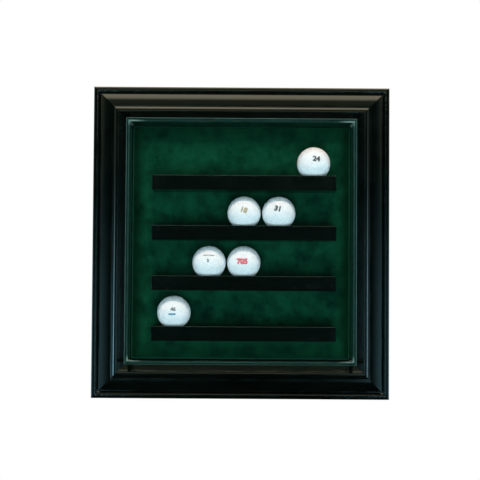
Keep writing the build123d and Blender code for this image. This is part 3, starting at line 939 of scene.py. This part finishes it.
# %% [markdown]
# ## The golf balls
# A ball is a sphere with some 360 dimples set out on a twenty-sided figure. The middles of the dimples are
# the points of that figure with its sides divided in six. A much finer sphere is then pressed in
# round each of those points by a shallow dish with a soft rim. One ball is made and copied, and each copy
# is turned its own way, as balls set down by hand would be.

# %% Dimple places
DIMPLE_SIDES = 6
DIMPLE_DEPTH = 0.26 * MM
DIMPLE_SHARE = 0.475        # dimple radius as a share of the distance to its nearest neighbour
RIM_SHARE = 0.22            # share of that radius over which the rim rounds off
BALL_FINENESS = 7

ball_low, ball_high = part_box("golf_ball_1")
BALL_R = (ball_high.x - ball_low.x) / 2
pattern = bmesh.new()
bmesh.ops.create_icosphere(pattern, subdivisions=1, radius=1)
bmesh.ops.subdivide_edges(pattern, edges=pattern.edges[:], cuts=DIMPLE_SIDES - 1, use_grid_fill=True)
middles = [vert.co.normalized() * BALL_R for vert in pattern.verts]
pattern.free()
tree_of_dimples = KDTree(len(middles))
for i, middle in enumerate(middles):
    tree_of_dimples.insert(middle, i)
tree_of_dimples.balance()
radii = [tree_of_dimples.find_n(middle, 2)[1][2] * DIMPLE_SHARE for middle in middles]
widths = [round(2 * radius / MM, 2) for radius in radii]
print(len(middles), "dimples,", min(widths), "to", max(widths), "mm across")


# %% The dimpled ball
def dish(share):
    """Depth of a dimple at a share of its radius: a shallow dish whose rim rounds off."""
    if share >= 1:
        return 0.0
    bowl = 1 - share * share
    rim = min(1.0, (1 - share) / RIM_SHARE)
    return bowl * rim * rim * (3 - 2 * rim)


ball_bm = bmesh.new()
bmesh.ops.create_icosphere(ball_bm, subdivisions=BALL_FINENESS, radius=BALL_R)
for vert in ball_bm.verts:
    middle, i, distance = tree_of_dimples.find(vert.co)
    vert.co *= 1 - DIMPLE_DEPTH * dish(distance / radii[i]) / BALL_R
ball_mesh = bpy.data.meshes.new("ball_shape")
ball_bm.to_mesh(ball_mesh)
ball_bm.free()
ball_mesh.shade_smooth()
print("ball", len(ball_mesh.polygons), "faces")

# %% [markdown]
# The cover of a ball is white, hard and glossy, with a clear coat, and a little greyer and duller in
# patches where it was handled. Each ball carries a plain number or a line in ink of one colour, as balls on
# a practice ground do, and ink wears thin in spots.

# %% Ball finish
BALL_WHITE = (0.84, 0.86, 0.86, 1)
BALL_SHADE = (0.78, 0.81, 0.82, 1)
BALL_RELIEF = 0.004 * MM
INK_WORN = 0.12             # how far the white shows through where ink is thinnest


def ball_finish():
    """White cover with the least unevenness that keeps it from looking like china."""
    material, own, shader, place = new_finish("ball_white")
    clouds = effect(own, BLOTCHES, place, size=0.008)
    skin = effect(own, SPRAYED_SKIN, place, ripple=0.0006, dullest=0.34, glossiest=0.22)
    feed(own, shader, "Base Color", mix_colours(own, clouds["Mask"], BALL_WHITE, BALL_SHADE))
    feed(own, shader, "Roughness", skin["Roughness"])
    emboss(own, shader, skin["Height"], BALL_RELIEF)
    set_shader(shader, ior=1.5, coat_weight=0.35, coat_roughness=0.12, diffuse_roughness=0.5)
    return material


def ink(name, colour):
    """Printed ink, slightly worn."""
    material, own, shader, place = new_finish(name)
    wear = effect(own, BLOTCHES, place, size=0.0012)
    thin = number(own, "MULTIPLY", wear["Mask"], INK_WORN)
    feed(own, shader, "Base Color", mix_colours(own, thin, colour, BALL_WHITE))
    set_shader(shader, roughness=0.3)
    return material


INKS = {
    "black": ink("ink_black", (0.012, 0.012, 0.014, 1)),
    "tan": ink("ink_tan", (0.38, 0.30, 0.16, 1)),
    "grey": ink("ink_grey", (0.16, 0.17, 0.18, 1)),
    "red": ink("ink_red", (0.62, 0.035, 0.06, 1)),
    "blue": ink("ink_blue", (0.015, 0.20, 0.33, 1)),
}
white_cover = ball_finish()
print("inks:", ", ".join(INKS))

# %% Balls in their seats
BALL_NAMES = sorted(name for name in nodes if name.startswith("golf_ball_"))
BALL_TURNS = ((12, 31, 5), (47, 8, 66), (80, 22, 14), (5, 64, 38), (33, 50, 91), (61, 17, 27))   # degrees
balls = {}


def body_of(ball):
    """The body that a ball of the model rides on."""
    return "ball_" + ball.split("_")[-1]


for name, turn in zip(BALL_NAMES, BALL_TURNS):
    low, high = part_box(name)
    bm = bmesh.new()
    bm.from_mesh(ball_mesh)
    bmesh.ops.rotate(bm, matrix=Euler([radians(v) for v in turn]).to_matrix(), verts=bm.verts)
    bmesh.ops.translate(bm, vec=(low + high) / 2, verts=bm.verts)
    surface = BVHTree.FromBMesh(bm)
    make_piece(body_of(name), bm, body_of(name), [white_cover], [name])
    balls[name] = ((low + high) / 2, surface)
print(len(balls), "balls")

# %% [markdown]
# ## Numbers on the balls
# Ink lies in the dimples as well as on the flats. Each number starts as flat text, is made a mesh, is
# cut into a fine grid and is then laid on the ball: every point travels straight towards the ball until
# it meets the dimpled surface, and stops a few hundredths of a millimetre above it.

# %% Laying a mark on a ball
INK_T = 0.03 * MM
INK_CELL = 0.45 * MM
STROKE_SHARE = 0.085        # how much each side of a stroke is thickened, as a share of the height
FONT_SHARE = 1.4            # the size of the font, as a share of the height
START_OUT = 1.5             # a point starts this many ball radii out


def flat_number(text, height):
    """A flat number, as a bmesh round the origin."""
    curve = bpy.data.curves.new("number", "FONT")
    curve.body = text
    curve.align_x, curve.align_y = "CENTER", "CENTER"
    curve.resolution_u = 4
    curve.size = height * FONT_SHARE
    curve.offset = height * STROKE_SHARE
    holder = bpy.data.objects.new("number", curve)
    flat = bpy.data.meshes.new_from_object(holder)
    bm = bmesh.new()
    bm.from_mesh(flat)
    bpy.data.objects.remove(holder)
    bpy.data.meshes.remove(flat)
    bmesh.ops.remove_doubles(bm, verts=bm.verts, dist=0.001 * MM)
    return bm


def flat_bar(width, height):
    """A flat bar, as a bmesh round the origin."""
    bm = bmesh.new()
    bmesh.ops.create_grid(bm, x_segments=1, y_segments=1, size=0.5)
    bmesh.ops.scale(bm, vec=(width, height, 1), verts=bm.verts)
    return bm


def lay_on_ball(name, bm, ball, shift, lean, colour):
    """Lays a flat mark on the front of a ball, shift (right, up) in ball radii, leaning by some degrees."""
    middle, surface = balls[ball]
    spread = [max(abs(v.co[axis]) for v in bm.verts) for axis in range(2)]
    for axis in range(2):
        cut_evenly(bm, axis, -spread[axis], spread[axis], INK_CELL)
    bmesh.ops.triangulate(bm, faces=bm.faces[:])
    to_side, to_top = atan(shift[0]), atan(shift[1])
    turn = Matrix.Rotation(to_side, 3, "Z") @ Matrix.Rotation(-to_top, 3, "X")
    turn = turn @ Matrix.Rotation(radians(-lean), 3, "Y") @ Matrix.Rotation(pi / 2, 3, "X")
    towards = turn @ Vector((0, 0, -1))
    for vert in bm.verts:
        start = middle + turn @ vert.co - towards * BALL_R * START_OUT
        hit = surface.ray_cast(start, towards)[0]
        vert.co = hit - towards * INK_T
    bmesh.ops.recalc_face_normals(bm, faces=bm.faces)
    return make_piece(name, bm, body_of(ball), [INKS[colour]])


# %% The marks
NUMBER_H = 6.5 * MM
lay_on_ball("number_on_ball_1", flat_number("24", NUMBER_H), "golf_ball_1", (0.12, 0.22), -6, "black")
lay_on_ball("number_on_ball_2", flat_number("18", NUMBER_H), "golf_ball_2", (-0.03, 0.12), -18, "tan")
lay_on_ball("number_on_ball_3", flat_number("31", NUMBER_H), "golf_ball_3", (-0.08, 0.22), -12, "black")
lay_on_ball("line_on_ball_4", flat_bar(14 * MM, 1.3 * MM), "golf_ball_4", (0.0, 0.47), 0, "grey")
lay_on_ball("number_on_ball_4", flat_number("2", 3.4 * MM), "golf_ball_4", (-0.05, 0.10), 0, "black")
lay_on_ball("number_on_ball_5", flat_number("705", NUMBER_H), "golf_ball_5", (-0.10, 0.05), 0, "red")
lay_on_ball("number_on_ball_6", flat_number("46", 4.6 * MM), "golf_ball_6", (0.0, 0.20), 0, "grey")
lay_on_ball("line_on_ball_6", flat_bar(9 * MM, 2.2 * MM), "golf_ball_6", (-0.06, -0.10), 0, "blue")
print("marks laid on", len(balls), "balls")
